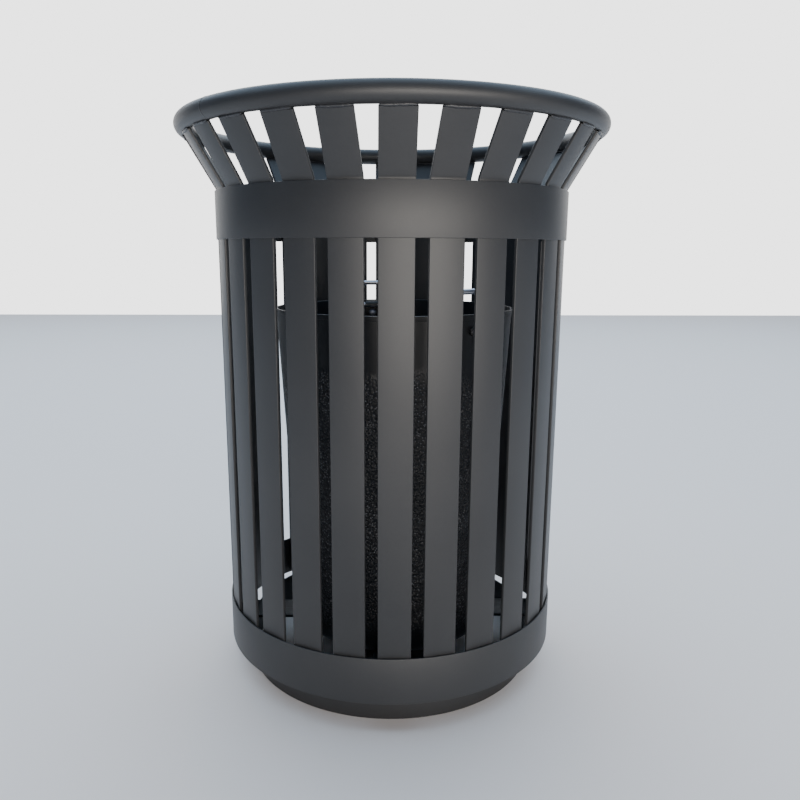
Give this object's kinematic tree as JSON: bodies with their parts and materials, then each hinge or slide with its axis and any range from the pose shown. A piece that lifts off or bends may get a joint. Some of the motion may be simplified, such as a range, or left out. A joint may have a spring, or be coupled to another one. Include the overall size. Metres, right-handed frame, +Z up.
{
  "type": "litter bin",
  "caption": "Round litter bin of vertical flat steel slats with a flared top, a rolled tube rim, two flat bands, an inset base ring and a lift-out plastic liner.",
  "frame": {"origin": "centre of the base on the ground", "axes": "+Z up along the bin's axis, front towards -Y, right towards +X"},
  "size_m": [0.7053, 0.7054, 0.94],
  "materials": {
    "powder_coat": "satin charcoal powder coat",
    "liner_plastic": "black moulded polyethylene, pebbled outside",
    "zinc_plate": "zinc plated"
  },
  "bodies": {
    "bin_frame": {"rim_tube": "powder_coat", "upper_band": "powder_coat", "lower_band": "powder_coat", "base_ring": "powder_coat", "base_bar_long": "powder_coat", "base_bar_front": "powder_coat", "base_bar_rear": "powder_coat", "slat_01": "powder_coat", "slat_02": "powder_coat", "slat_03": "powder_coat", "slat_04": "powder_coat", "slat_05": "powder_coat", "slat_06": "powder_coat", "slat_07": "powder_coat", "slat_08": "powder_coat", "slat_09": "powder_coat", "slat_10": "powder_coat", "slat_11": "powder_coat", "slat_12": "powder_coat", "slat_13": "powder_coat", "slat_14": "powder_coat", "slat_15": "powder_coat", "slat_16": "powder_coat", "slat_17": "powder_coat", "slat_18": "powder_coat", "slat_19": "powder_coat", "slat_20": "powder_coat", "slat_21": "powder_coat", "slat_22": "powder_coat", "slat_23": "powder_coat", "slat_24": "powder_coat", "slat_25": "powder_coat", "slat_26": "powder_coat"},
    "liner_set": {"liner": "liner_plastic", "rear_handle": "zinc_plate", "front_handle": "zinc_plate", "rear_handle_clip": "zinc_plate", "front_handle_clip": "zinc_plate", "handle_bolts": "zinc_plate", "handle_washers": "zinc_plate", "handle_nuts": "zinc_plate"}
  },
  "joints": [
    {"name": "liner_lift", "type": "slide", "parent": "bin_frame", "child": "liner_set", "axis": [0, 0, 1], "range_m": [0, 0.9]}
  ]
}
